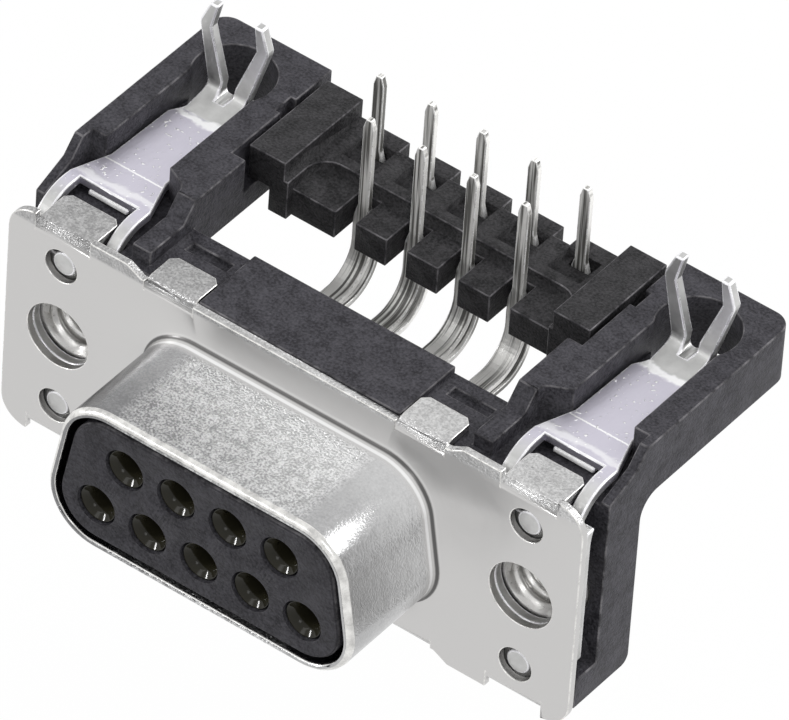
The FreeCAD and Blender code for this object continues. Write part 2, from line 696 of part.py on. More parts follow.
def cavities(body):
    """Bores for the contacts' sleeves and flat slots for their strips, on the right half."""
    bore = dim["cavity_bore"] / 2
    half_slot = dim["strip_width"] / 2 + dim["fit_gap"]
    half_sheet = dim["strip_thickness"] / 2 + dim["fit_gap"]
    places = [(x, row_high) for x in four_way[2:]] + [(x, -row_high) for x in five_way[2:]]
    floor = -dim["cavity_floor"]
    pocket(body, "cavity_bores", "XZ", insulator_face, floor, *[(place, bore) for place in places])
    slots = [rectangle(x - half_slot, z - half_sheet, x + half_slot, z + half_sheet) for x, z in places]
    pocket(body, "strip_slots", "XZ", floor, dim["body_depth"], *slots)


# Tail aligner: the comb that holds the tails at the board's pitch

def tail_aligner():
    body = new_body("tail_aligner")
    gap = dim["fit_gap"]
    wing_in = arm_inner - dim["wing_overlap"]
    shelf = wing_in - dim["wing_shelf"]
    wing_out = arm_inner + dim["ledge_step"] - dim["aligner_gap"]
    body_side = arm_inner - dim["body_inset"]
    first_row = dim["tail_first_row"]
    front = first_row - dim["tooth_lead"]
    wing_front = first_row - dim["wing_lead"]
    rear = tail_second_row + dim["aligner_lag"]
    plan = [
        (zero, front),
        (shelf, front),
        (shelf, wing_front),
        (body_side, wing_front),
        (body_side, rear),
        (zero, rear),
    ]
    pad(body, "bar", "XY", dim["aligner_bottom"], dim["aligner_bar_top"], plan)
    tooth_step = [
        (zero, wing_front - PAST),
        (shelf, wing_front - PAST),
        (shelf, first_row + dim["bar_lag"], dim["step_radius"]),
        (zero, first_row + dim["bar_lag"]),
    ]
    pocket(body, "tooth_level", "XY", dim["aligner_tooth_top"], dim["aligner_bar_top"], tooth_step)
    wing = rectangle(wing_in, wing_front, wing_out, rear)
    pad(body, "wing", "XY", dim["ledge_top"] + gap, dim["board_seat"], wing)
    half_latch = dim["latch_width"] / 2
    reach = wing_out + dim["aligner_gap"] + dim["latch_height"] - gap
    latch = [
        (wing_out - gap, lock_y - half_latch),
        (reach, lock_y - half_latch / 2),
        (reach, lock_y + half_latch / 2),
        (wing_out - gap, lock_y + half_latch),
    ]
    latch_low = dim["ledge_top"] + dim["latch_low"]
    pad(body, "latch_bump", "XY", latch_low, dim["ledge_top"] + dim["latch_top"], latch)
    half_slot = dim["tooth_slot"] / 2
    slot_end = first_row + dim["slot_room"]
    slots = [rectangle(x - half_slot, wing_front, x + half_slot, slot_end) for x in four_way[2:]]
    pocket(body, "tooth_slots", "XY", dim["aligner_bottom"], dim["aligner_bar_top"], *slots)
    half_notch = dim["rear_notch"] / 2
    notch_front = rear - dim["rear_notch_depth"]
    notches = [rectangle(x - half_notch, notch_front, x + half_notch, rear + PAST) for x in four_way[2:]]
    pocket(body, "rear_notches", "XY", dim["aligner_bottom"], dim["aligner_bar_top"], *notches)
    half_hole = dim["strip_width"] / 2 + gap
    half_sheet = dim["strip_thickness"] / 2 + gap
    hole_front = tail_second_row - half_sheet
    hole_rear = tail_second_row + half_sheet
    holes = [rectangle(x - half_hole, hole_front, x + half_hole, hole_rear) for x in five_way[2:]]
    pocket(body, "tail_holes", "XY", dim["aligner_bottom"], dim["aligner_bar_top"], *holes)
    half_width = dim["funnel_width"] / 2
    mouth = tail_second_row - dim["funnel_lead"]
    mouth_rear = mouth + dim["funnel_length"]
    funnels = [rectangle(x - half_width, mouth, x + half_width, mouth_rear) for x in five_way[2:]]
    pocket(body, "funnels", "XY", dim["funnel_floor"], dim["aligner_bar_top"], *funnels)
    mirror_whole(body)


# Contacts: a sleeve for the pin, a strip that turns up, and a tail with barbs

def contact(label, x, row_z, tail_y, barb_top, necked):
    body = new_body(label)
    half_sheet = dim["strip_thickness"] / 2
    half_strip = dim["strip_width"] / 2
    sleeve = dim["socket_bore"] / 2 + dim["socket_wall"]
    sleeve_front = insulator_face + dim["socket_front"]
    sleeve_rear = -dim["cavity_floor"] - dim["fit_gap"]
    bend = dim["strip_bend"]
    strip_top = dim["aligner_bottom"]
    side_view = [
        (sleeve_rear - half_sheet, row_z - half_sheet),
        (tail_y + half_sheet, row_z - half_sheet, bend + half_sheet),
        (tail_y + half_sheet, strip_top),
        (tail_y - half_sheet, strip_top),
        (tail_y - half_sheet, row_z + half_sheet, bend - half_sheet),
        (sleeve_rear - half_sheet, row_z + half_sheet),
    ]
    pad(body, label + "_strip", "YZ", -half_strip, half_strip, side_view)
    half_tail = dim["tail_width"] / 2
    half_barb = dim["barb_width"] / 2
    tip = dim["tail_tip"]
    taper = dim["tail_point"]
    shoulder_top = strip_top + dim["strip_shoulder"]
    neck = [
        (half_strip, shoulder_top),
        (half_tail, shoulder_top + dim["strip_neck"]),
        (half_tail, barb_top - dim["barb_height"]),
    ]
    right_edge = [(half_strip, strip_top)] + (neck if necked else []) + [
        (half_barb, barb_top - dim["barb_slope"]),
        (half_tail, barb_top),
        (half_tail, tip - taper),
        (half_tail / 2, tip),
    ]
    left_edge = [(-across, up) for across, up in reversed(right_edge)]
    pad(body, label + "_tail", "XZ", tail_y - half_sheet, tail_y + half_sheet, right_edge + left_edge)
    pad(body, label + "_sleeve", "XZ", sleeve_front, sleeve_rear, ((zero, row_z), sleeve))
    pin_end = sleeve_rear - dim["socket_end_wall"]
    bore = dim["socket_bore"] / 2
    pocket(body, label + "_bore", "XZ", sleeve_front, pin_end, ((zero, row_z), bore))
    chamfer(body, label + "_funnel", dim["socket_funnel"], (bore, sleeve_front, row_z))
    bind(body, "Placement.Base.x", x)


# Ground straps: plate behind the flange, bend, strap along the arm, forked board lock

def strap_side_view():
    thickness = dim["strap_thickness"]
    low = -dim["strap_plate_bottom"]
    bend = dim["strap_bend"]
    top_front = dim["strap_top_front"]
    top_rear = dim["strap_top_rear"]
    lock_front = lock_y - thickness / 2
    lock_back = lock_y + thickness / 2
    rise = dim["lock_rise"]
    turn = dim["lock_bend"]
    return [
        (plate_front, low),
        (plate_back, low),
        (plate_back, top_front - thickness, bend),
        (joggle_y, top_rear - thickness),
        (lock_back, top_rear - thickness + rise, turn + thickness),
        (lock_back + dim["lock_lean"], dim["lock_tip"]),
        (lock_front + dim["lock_lean"], dim["lock_tip"]),
        (lock_front, top_rear + rise, turn),
        (joggle_y, top_rear),
        (plate_front, top_front, bend + thickness),
    ]


def ground_strap(label, side):
    body = new_body(label)
    thickness = dim["strap_thickness"]
    gap = dim["fit_gap"]
    plate_half = dim["strap_plate_width"] / 2
    low = -dim["strap_plate_bottom"]
    cut = dim["strap_corner_cut"]
    pad(body, label + "_sheet", "YZ", zero, plate_half, strap_side_view())
    corner = [
        (plate_half - cut, low - PAST),
        (plate_half + PAST, low - PAST),
        (plate_half + PAST, low + 2 * cut),
        (plate_half, low + 2 * cut),
        (plate_half - cut, low),
    ]
    pocket(body, label + "_corner", "XZ", zero, plate_back + PAST, corner)
    narrow = dim["strap_width"] / 2
    foot = dim["lock_neck_width"] / 2
    fork_start = lock_y - thickness / 2
    beside = [
        (neck_half, zero),
        (neck_half, dim["strap_taper_start"]),
        (narrow, dim["strap_taper_end"]),
        (narrow, joggle_y - thickness),
        (foot, joggle_y + thickness / 2),
        (foot, fork_start),
        (plate_half + PAST, fork_start),
        (plate_half + PAST, zero),
    ]
    pocket(body, label + "_beside", "XY", dim["strap_shoulder"], dim["lock_tip"] + PAST, beside)
    window = rectangle(zero, zero, window_half, dim["strap_window_rear"])
    pocket(body, label + "_window", "XY", dim["strap_window_low"], dim["lock_tip"], window)
    spread = dim["lock_spread"] / 2
    leg = dim["lock_leg_width"]
    bulge = dim["lock_bulge"]
    tip = dim["lock_tip"]
    base = dim["strap_top_rear"]
    outside = [
        (foot, base - PAST),
        (foot, base + dim["lock_foot"]),
        (spread, bulge - dim["barb_flat"]),
        (spread, bulge),
        (spread - dim["barb_slant"], tip),
        (spread - dim["barb_slant"], tip + PAST),
        (plate_half + PAST, tip + PAST),
        (plate_half + PAST, base - PAST),
    ]
    half_slot = dim["lock_slot"] / 2
    leg_end = spread - leg - dim["barb_slant"] + dim["leg_taper"]
    inside = [
        (zero, base + dim["slot_low"]),
        (half_slot, base + dim["slot_low"], dim["slot_round"]),
        (half_slot, base + dim["lock_foot"] + half_slot),
        (spread - leg, bulge - dim["barb_flat"]),
        (leg_end, tip),
        (leg_end, tip + PAST),
        (zero, tip + PAST),
    ]
    pocket(body, label + "_lock_outside", "XZ", fork_start, fork_start + 2 * PAST, outside)
    pocket(body, label + "_lock_slot", "XZ", fork_start - dim["lock_bend"], fork_start + 2 * PAST, inside)
    lip_top = dim["lip_top"]
    lip_low = lip_top - dim["lip_drop"]
    rear = dim["strap_window_rear"]
    lip_root = rear + thickness
    lip = [
        (lip_root, lip_top),
        (rear - gap, lip_top - thickness, thickness / 2),
        (rear - gap, lip_low),
        (rear + dim["lip_cut"], lip_low),
        (lip_root, lip_top - thickness),
    ]
    pad(body, label + "_lip", "YZ", zero, dim["strap_lip_width"] / 2, lip)
    mirror_whole(body)
    stakes = [((zero, sign * dim["stake_offset"]), dim["stake_pin"] / 2) for sign in (1, -1)]
    pad(body, label + "_stakes", "XZ", dim["stake_recess"], plate_front + thickness / 2, *stakes)
    pocket(body, label + "_screw_hole", "XZ", zero, plate_back + PAST, ((zero, zero), dim["screw_hole"] / 2))
    bind(body, "Placement.Base.x", side * screw_x)


# Threaded inserts: the jack screws of the mating plug go into these

def threaded_insert(label, side):
    body = new_body(label)
    front = plate_back + dim["fit_gap"]
    pad(body, label + "_shank", "XZ", front, dim["body_depth"], ((zero, zero), dim["insert_outer"] / 2))
    pocket(body, label + "_thread", "XZ", front, dim["body_depth"], ((zero, zero), dim["insert_thread"] / 2))
    mouth = (dim["insert_mouth"] - dim["insert_thread"]) / 2
    chamfer(body, label + "_mouth", mouth, (dim["insert_thread"] / 2, front, zero))
    bind(body, "Placement.Base.x", side * screw_x)


front_shell()
insulator_housing()
tail_aligner()
for place, x in enumerate(four_way, start=len(five_way) + 1):
    contact("contact_%d" % place, x, row_high, dim["tail_first_row"], dim["barb_top"], False)
for place, x in enumerate(five_way, start=1):
    contact("contact_%d" % place, x, -row_high, tail_second_row, dim["barb_top"] + dim["barb_lift"], True)
for side_name, side in (("left", -1), ("right", 1)):
    ground_strap("ground_strap_" + side_name, side)
    threaded_insert("threaded_insert_" + side_name, side)
doc.recompute()


# Check every object, then write each sub-part

def check_document():
    for thing in doc.Objects:
        if "Invalid" in thing.State or "Error" in thing.State:
            raise RuntimeError(thing.Name + " failed: " + str(thing.State))
        base = getattr(thing, "BaseFeature", None)
        if thing.TypeId not in ("PartDesign::Pad", "PartDesign::Pocket") or base is None:
            continue
        grown = thing.Shape.Volume - base.Shape.Volume
        if (grown > 0) != (thing.TypeId == "PartDesign::Pad") or abs(grown) < 1e-6:
            raise RuntimeError(thing.Name + " changed the volume by %.6f" % grown)


def write_parts():
    os.makedirs("parts", exist_ok=True)
    for body in doc.findObjects("PartDesign::Body"):
        shape = body.Shape
        if shape.isNull() or not shape.isValid() or len(shape.Solids) != 1:
            raise RuntimeError(body.Label + " is not one valid solid")
        shape.exportStep(os.path.join("parts", body.Label + ".step"))
        print(body.Label, "%.2f mm3" % shape.Volume)


check_document()
write_parts()
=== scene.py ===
"""Looks of a right-angle nine-way D-sub socket: finishes, rounded edges and threads on its CAD frame."""

import math

import bmesh
import bpy
from mathutils import Matrix, Vector


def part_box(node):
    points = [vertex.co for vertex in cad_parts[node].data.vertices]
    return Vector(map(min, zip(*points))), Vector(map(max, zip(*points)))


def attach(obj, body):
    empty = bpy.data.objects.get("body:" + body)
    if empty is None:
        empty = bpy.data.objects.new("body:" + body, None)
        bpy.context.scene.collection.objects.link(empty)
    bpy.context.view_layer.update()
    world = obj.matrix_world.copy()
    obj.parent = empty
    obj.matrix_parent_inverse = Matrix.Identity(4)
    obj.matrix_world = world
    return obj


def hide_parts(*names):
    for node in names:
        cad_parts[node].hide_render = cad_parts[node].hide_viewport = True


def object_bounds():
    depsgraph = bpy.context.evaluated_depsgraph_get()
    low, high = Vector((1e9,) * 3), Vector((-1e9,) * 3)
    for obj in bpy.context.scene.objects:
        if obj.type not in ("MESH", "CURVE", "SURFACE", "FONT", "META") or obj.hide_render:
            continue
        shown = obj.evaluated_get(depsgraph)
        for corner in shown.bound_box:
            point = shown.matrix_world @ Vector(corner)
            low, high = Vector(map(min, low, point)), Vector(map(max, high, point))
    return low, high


MM = 0.001
BODY = "root"

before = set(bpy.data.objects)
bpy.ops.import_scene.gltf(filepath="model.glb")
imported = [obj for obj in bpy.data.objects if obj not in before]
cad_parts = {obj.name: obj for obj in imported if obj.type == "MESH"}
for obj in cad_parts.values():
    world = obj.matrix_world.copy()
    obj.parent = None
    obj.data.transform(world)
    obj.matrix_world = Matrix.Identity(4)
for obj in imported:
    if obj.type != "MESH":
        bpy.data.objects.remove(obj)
cad_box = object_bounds()

# Shell, in millimetres

RIM_FRONT_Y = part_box("front_shell")[0].y / MM
RIM_CHAMFER = 0.11
RIM_ROLL = 0.34
SHELL_EDGE = 0.05
SHROUD_LEFT_X = -8
SHROUD_RIGHT_X = 6
SHROUD_FRONT_Y = -5.2
SHROUD_REAR_Y = -0.8
DRAWN_END_Y = -0.9
FLANGE_START_Y = -0.4
BURNISHED_SHADED_START_X = 4.3
BURNISHED_SHADED_FULL_X = 5.3
FOLD_START_Z = 5.5
FOLD_END_Z = 5.7
ROOT_SHADE_Y = -0.16
ROOT_SHADE_HALF_WIDTH = 0.1
ROOT_HIGHLIGHT_Y = -0.42
ROOT_HIGHLIGHT_HALF_WIDTH = 0.14

# Insulator and aligner, in millimetres

HOUSING_EDGE = 0.06
ALIGNER_EDGE = 0.05
INSULATOR_FACE_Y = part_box("insulator_housing")[0].y / MM
CONTACT_SPACING = 2.77
ROW_HEIGHT = 1.42
OPENING_RADIUS = 0.965
OPENING_FLARE = 0.06
OPENING_EDGE_SHARE = 0.1
FUNNEL_FLOOR_Z = 4.8
FUNNEL_DISH_Z = 5.7
FUNNEL_FRONT_Y = 11.7
FUNNEL_REAR_Y = 13.4

# Straps, in millimetres

STRAP_EDGE = 0.09
ARM_START_Y = 1.5
ARM_FULL_Y = 3.0
ARM_FADE = 0.1
LIP_FRONT_Y = 3.1
LIP_REAR_Y = 3.6
LIP_LOW_Z = 5.0
LIP_HIGH_Z = 5.8
COINED_EDGE_Y = 4.1
COINED_HALF_WIDTH = 0.34
CREASE_Y = 5.0
CREASE_HALF_WIDTH = 0.07
JOGGLE_Y = 9.75
JOGGLE_LINE_OFFSET = 0.35
JOGGLE_HALF_WIDTH = 0.32

# Contacts and inserts, in millimetres

CONTACT_EDGE = 0.05
SLEEVE_REAR_Y = -0.45
TAIL_HALF_WIDTH = 0.28
TAIL_FADE = 0.2
BARB_START = 0.02
BARB_FULL = 0.06
SCREW_X = 12.495
INSERT_BORE = 1.2
INSERT_CHAMFER = 0.08
THREAD_LEAD_IN = 0.22
THREAD_PITCH = 0.635
THREAD_DEPTH = 0.2
THREAD_FLAT_SHARE = 1 / 6

# Widths of what marks the surfaces, in millimetres; what is really under 0.05 is drawn coarser to show

TIN_GRAIN = 0.11
TIN_BLOTCH = 0.5
PLATE_WAVE = 1.3
EDGE_BLOTCH = 0.5
ROLLING_LINE = 0.14
STRIP_WAVE = 1.1
STRIP_SPECK = 0.16
STAMPING_STREAK = 0.13
PLATING_GRAIN = 0.1
SLEEVE_SHADE_BLOTCH = 0.3
FIBRE_GRAIN = 0.13
MOULD_CLOUD = 0.8

# Angles in degrees, and how finely round shapes are made

SHARP_ANGLE = 28
THREAD_SHARP_ANGLE = 50
ROUND_STEPS = 64
STEPS_PER_PITCH = 8

# Distances in millimetres within which points count as one, on a face, or on an opening's edge

WELD = 0.0005
ON_FACE = 0.02
ON_CHAMFER = 0.005
ON_OPENING = 0.03

# Order of the finishes that a piece has

FACES = 0
EDGES = 1
CHOSEN_FACES = 2

# Camera and surroundings, in millimetres and degrees

CAMERA_AZIMUTH = 34.4226
CAMERA_ELEVATION = 42.3686
CAMERA_ROLL = 4.1625
CAMERA_DISTANCE = 582.285
CAMERA_AIM = (1.131, 5.893, 2.649)
CAMERA_LENS = 620.284
SENSOR_WIDTH = 36
FLOOR_DROP = 14
FLOOR_REACH = 2000
FLOOR_WHITE = 0.97
LAMP_DISTANCE = 500
WORLD_BRIGHTNESS = 0.5
WHITE = (1, 1, 1, 1)

# Setting of a change without a visible start and end

SMOOTH = {"interpolation_type": "SMOOTHSTEP"}


def add_camera():
    azimuth = math.radians(CAMERA_AZIMUTH)
    elevation = math.radians(CAMERA_ELEVATION)
    roll = math.radians(CAMERA_ROLL)
    level = Vector((math.cos(azimuth), math.sin(azimuth), 0))
    back = Vector((math.sin(azimuth) * math.cos(elevation), -math.cos(azimuth) * math.cos(elevation),
                   math.sin(elevation)))
    upright = back.cross(level)
    right = level * math.cos(roll) + upright * math.sin(roll)
    up = back.cross(right)
    lens = bpy.data.cameras.new("photo_camera")
    lens.lens = CAMERA_LENS
    lens.sensor_width = SENSOR_WIDTH
    lens.clip_start = 0.01
    lens.clip_end = 10
    camera = bpy.data.objects.new("photo_camera", lens)
    place = Vector(CAMERA_AIM) + back * CAMERA_DISTANCE
    camera.matrix_world = Matrix.Translation(place * MM) @ Matrix((right, up, back)).transposed().to_4x4()
    bpy.context.scene.collection.objects.link(camera)
    bpy.context.scene.camera = camera
    bpy.context.scene.view_settings.view_transform = "Standard"


def linear(code):
    """A colour written as on a screen, in the renderer's linear values and opaque."""
    parts = [int(code[place:place + 2], 16) / 255 for place in (1, 3, 5)]
    return (*(part / 12.92 if part <= 0.04045 else ((part + 0.055) / 1.055) ** 2.4 for part in parts), 1)


def new_material(name):
    material = bpy.data.materials.new(name)
    material.use_nodes = True
    material.node_tree.nodes.clear()
    return material, material.node_tree


def add_node(tree, kind, feeds=(), **settings):
    """A node with its settings and links.

    Its feeds are numbers, colours or other nodes, in the order of its sockets or by their names.
    """
    node = tree.nodes.new("ShaderNode" + kind)
    for name, value in settings.items():
        setattr(node, name, value)
    if isinstance(feeds, dict):
        pairs = [(node.inputs[name], feed) for name, feed in feeds.items()]
    else:
        pairs = zip([socket for socket in node.inputs if socket.enabled], feeds)
    for socket, feed in pairs:
        if isinstance(feed, bpy.types.Node):
            feed = next(output for output in feed.outputs if output.enabled)
        if isinstance(feed, bpy.types.NodeSocket):
            tree.links.new(feed, socket)
        else:
            socket.default_value = feed
    return node


def white_to_see(tree, others, white, share=1.0):
    """White where the camera or a reflection looks at it, the other shader for all other light."""
    path = add_node(tree, "LightPath")
    looks = (path.outputs["Is Camera Ray"], path.outputs["Is Glossy Ray"])
    seen = add_node(tree, "Math", looks, operation="MAXIMUM")
    part = add_node(tree, "Math", (seen, share), operation="MULTIPLY")
    return add_node(tree, "MixShader", (part, others, white))


def add_world(brightness):
    world = bpy.data.worlds.new("white_studio")
    world.use_nodes = True
    tree = world.node_tree
    tree.nodes.clear()
    light = add_node(tree, "Background", (WHITE, brightness))
    white = add_node(tree, "Background", (WHITE, 1.0))
    add_node(tree, "OutputWorld", (white_to_see(tree, light, white),))
    bpy.context.scene.world = world


def add_floor():
    """A white table, on which the soft light leaves only a faint shadow."""
    reach = FLOOR_REACH * MM
    height = cad_box[0][2] - FLOOR_DROP * MM
    corners = [(x * reach, y * reach, height) for x, y in ((-1, -1), (1, -1), (1, 1), (-1, 1))]
    mesh = bpy.data.meshes.new("floor")
    mesh.from_pydata(corners, [], [(0, 1, 2, 3)])
    floor = bpy.data.objects.new("floor", mesh)
    bpy.context.scene.collection.objects.link(floor)
    material, tree = new_material("white_table")
    paper = add_node(tree, "BsdfDiffuse", (linear("#e7e7e7"),))
    white = add_node(tree, "Emission", (WHITE, 1.0))
    add_node(tree, "OutputMaterial", (white_to_see(tree, paper, white, FLOOR_WHITE),))
    mesh.materials.append(material)
    floor.visible_diffuse = False
    floor.visible_shadow = False


def add_softbox(name, direction, width, height, brightness, reflected=True):
    """A lamp seen from the object in a direction, with the brightness of its face."""
    lamp = bpy.data.lights.new(name, "AREA")
    lamp.shape = "RECTANGLE"
    lamp.size = width * MM
    lamp.size_y = height * MM
    lamp.energy = brightness * math.pi * lamp.size * lamp.size_y
    toward = Vector(direction).normalized()
    facing = toward.to_track_quat("Z", "Y").to_matrix().to_4x4()
    box = bpy.data.objects.new(name, lamp)
    box.matrix_world = Matrix.Translation(toward * LAMP_DISTANCE * MM) @ facing
    box.visible_camera = False
    box.visible_glossy = reflected
    bpy.context.scene.collection.objects.link(box)


# Patterns

def grain(tree, size, detail=2.0, stretch=(1, 1, 1)):
    """Noise whose cells measure about size millimetres, longer where stretch is above one."""
    place = add_node(tree, "TexCoord").outputs["Object"]
    cells = [1 / (size * MM * along) for along in stretch]
    spread = add_node(tree, "VectorMath", (place, cells), operation="MULTIPLY")
    return add_node(tree, "TexNoise", {"Vector": spread, "Scale": 1.0, "Detail": detail, "Roughness": 0.6})


def place_on(tree):
    """Where a point of the surface lies: across, in depth and in height, in millimetres."""
    place = add_node(tree, "TexCoord").outputs["Object"]
    measured = add_node(tree, "VectorMath", (place, [1 / MM] * 3), operation="MULTIPLY")
    return add_node(tree, "SeparateXYZ", (measured,)).outputs


def band(tree, place, centre, half_width, strength=1.0):
    """Full strength in the middle of a band across the surface, fading to nothing at its sides."""
    offset = add_node(tree, "Math", (place, centre), operation="SUBTRACT")
    away = add_node(tree, "Math", (offset,), operation="ABSOLUTE")
    core = 0.3 * half_width
    return add_node(tree, "MapRange", (away, half_width, core, 0, strength), **SMOOTH)


def toned(tree, pattern, dark, light, low=0.3, high=0.7):
    """A colour that follows a pattern, dark where it is low and light where it is high."""
    tone = add_node(tree, "MapRange", (pattern, low, high, 0, 1))
    return add_node(tree, "Mix", (tone, linear(dark), linear(light)), data_type="RGBA")


def add_surface(tree, colour, roughness, metallic, *layers, specular=0.5):
    """The shader of a finish; each layer of its unevenness is a pattern and its depth in millimetres."""
    feeds = {"Base Color": colour, "Roughness": roughness, "Metallic": metallic,
             "Specular IOR Level": specular}
    for pattern, depth in layers:
        uneven = {"Height": pattern, "Distance": depth * MM, "Strength": 1.0}
        if "Normal" in feeds:
            uneven["Normal"] = feeds["Normal"]
        feeds["Normal"] = add_node(tree, "Bump", uneven)
    add_node(tree, "OutputMaterial", (add_node(tree, "BsdfPrincipled", feeds),))


# Finishes

def satin_tin():
    """Tin plate on steel sheet, matt: speckled grey where it was drawn or folded, plain on the flange.

    The shroud's ends are burnished smooth by the drawing and painted darker there as painted shade on the
    shroud's sides, the sheet is paler towards the right and towards the flange, and a dark line of painted
    shade in the crease and a bright line of painted highlight on the rounding follow the foot of the
    shroud.
    """
    material, tree = new_material("satin_tin_plate")
    across, depth, height = place_on(tree)
    waves = grain(tree, PLATE_WAVE)
    uneven = add_node(tree, "Mix", (0.35, grain(tree, TIN_GRAIN), grain(tree, TIN_BLOTCH, 3)))
    drawn = add_node(tree, "MapRange", (depth, DRAWN_END_Y, FLANGE_START_Y, 1, 0), **SMOOTH)
    from_middle = add_node(tree, "Math", (across,), operation="ABSOLUTE")
    at_ends = add_node(tree, "MapRange", (from_middle, BURNISHED_SHADED_START_X, BURNISHED_SHADED_FULL_X), **SMOOTH)
    burnished_and_shaded = add_node(tree, "Math", (drawn, at_ends), operation="MULTIPLY")
    folded = add_node(tree, "MapRange", (height, FOLD_START_Z, FOLD_END_Z, 0, 0.7), **SMOOTH)
    worked = add_node(tree, "Math", (drawn, folded), operation="MAXIMUM")
    coarse = add_node(tree, "Math", (burnished_and_shaded, -0.85, worked), operation="MULTIPLY_ADD")
    speckles = add_node(tree, "Mix", (coarse, 0.5, uneven))

    lightness = add_node(tree, "MapRange", (speckles, 0.42, 0.58, 0, 0.62))
    to_right = add_node(tree, "MapRange", (across, SHROUD_LEFT_X, SHROUD_RIGHT_X, 0, 0.38), **SMOOTH)
    to_flange = add_node(tree, "MapRange", (depth, SHROUD_FRONT_Y, SHROUD_REAR_Y, -0.1, 0.14), **SMOOTH)
    # Painted shade: the burnished ends are made darker, for the shade on the shroud's sides.
    for part, paler in ((to_right, 1.0), (burnished_and_shaded, -0.2), (drawn, to_flange), (folded, -0.16)):
        lightness = add_node(tree, "Math", (part, paler, lightness), operation="MULTIPLY_ADD")
    colour = toned(tree, lightness, "#828283", "#e6e6e6", 0, 1)
    colour = add_node(tree, "Mix", (worked, linear("#c9c8c7"), colour), data_type="RGBA")
    # Painted shade along the crease at the shroud's foot, and a painted highlight on the rounding just in
    # front of it.
    root_shade = band(tree, depth, ROOT_SHADE_Y, ROOT_SHADE_HALF_WIDTH, 0.85)
    colour = add_node(tree, "Mix", (root_shade, colour, linear("#2f2e2e")), data_type="RGBA")
    root_highlight = band(tree, depth, ROOT_HIGHLIGHT_Y, ROOT_HIGHLIGHT_HALF_WIDTH, 0.8)
    colour = add_node(tree, "Mix", (root_highlight, colour, linear("#fafafa")), data_type="RGBA")
    roughness = add_node(tree, "MapRange", (burnished_and_shaded, 0, 1, 0.32, 0.2))
    add_surface(tree, colour, roughness, 1.0, (speckles, 0.11), (waves, 0.014))
    return material


def highlighted_edge_tin(name, dark, light, metallic=1.0):
    """Tin on a rounded edge, painted lighter as a painted highlight: a bright line with dull spots."""
    material, tree = new_material(name)
    blotches = grain(tree, EDGE_BLOTCH, 3)
    roughness = add_node(tree, "MapRange", (blotches, 0.3, 0.7, 0.2, 0.34))
    add_surface(tree, toned(tree, blotches, dark, light), roughness, metallic, (blotches, 0.01))
    return material


def bright_strap_tin():
    """Bright tin on rolled strip: grey, painted lavender along the arm as painted light on its top, with
    white specks painted there as glints.

    A crease, the pressed joggle and the coined rear edge of the window are painted as white lines, painted
    highlights along these bends.
    """
    material, tree = new_material("bright_tin_strip")
    depth = place_on(tree)["Y"]
    rolled = grain(tree, ROLLING_LINE, 2, (1, 6, 1))
    waves = grain(tree, STRIP_WAVE, 3)
    start = add_node(tree, "MapRange", (depth, ARM_START_Y, ARM_FULL_Y), **SMOOTH)
    end = add_node(tree, "MapRange", (depth, JOGGLE_Y + ARM_FADE, JOGGLE_Y), **SMOOTH)
    lit_arm = add_node(tree, "Math", (start, end), operation="MULTIPLY")
    # Painted glints: white specks on the arm.
    speck_glints = add_node(tree, "MapRange", (grain(tree, STRIP_SPECK, 0), 0.74, 0.8, 0, 1))
    bumps_glints_and_highlights = add_node(tree, "Math", (speck_glints, lit_arm), operation="MULTIPLY")
    wavy = add_node(tree, "Math", (waves, 0.9, depth), operation="MULTIPLY_ADD")
    # Painted highlights as white lines along the joggle and the window's coined rear edge.
    joggle_highlight = band(tree, wavy, JOGGLE_Y + JOGGLE_LINE_OFFSET, JOGGLE_HALF_WIDTH)
    coined_edge_highlight = band(tree, wavy, COINED_EDGE_Y, COINED_HALF_WIDTH, 0.55)
    for line in (joggle_highlight, coined_edge_highlight):
        bumps_glints_and_highlights = add_node(tree, "Math", (bumps_glints_and_highlights, line), operation="MAXIMUM")
    ragged = add_node(tree, "Math", (rolled, 0.1, depth), operation="MULTIPLY_ADD")
    # Painted highlight as a white line along the crease.
    crease_highlight = band(tree, ragged, CREASE_Y, CREASE_HALF_WIDTH)
    white = add_node(tree, "Math", (bumps_glints_and_highlights, crease_highlight), operation="MAXIMUM")

    colour = toned(tree, waves, "#b6b6b5", "#cfcfce")
    # Painted light: the arm is tinted lavender-white, for the light on its top.
    colour = add_node(tree, "Mix", (lit_arm, colour, linear("#cdcad6")), data_type="RGBA")
    colour = add_node(tree, "Mix", (white, colour, linear("#fbfbfc")), data_type="RGBA")
    roughness = add_node(tree, "MapRange", (rolled, 0.3, 0.7, 0.34, 0.46))
    add_surface(tree, colour, roughness, 0.85, (rolled, 0.004), (waves, 0.015), (bumps_glints_and_highlights, 0.02))
    return material


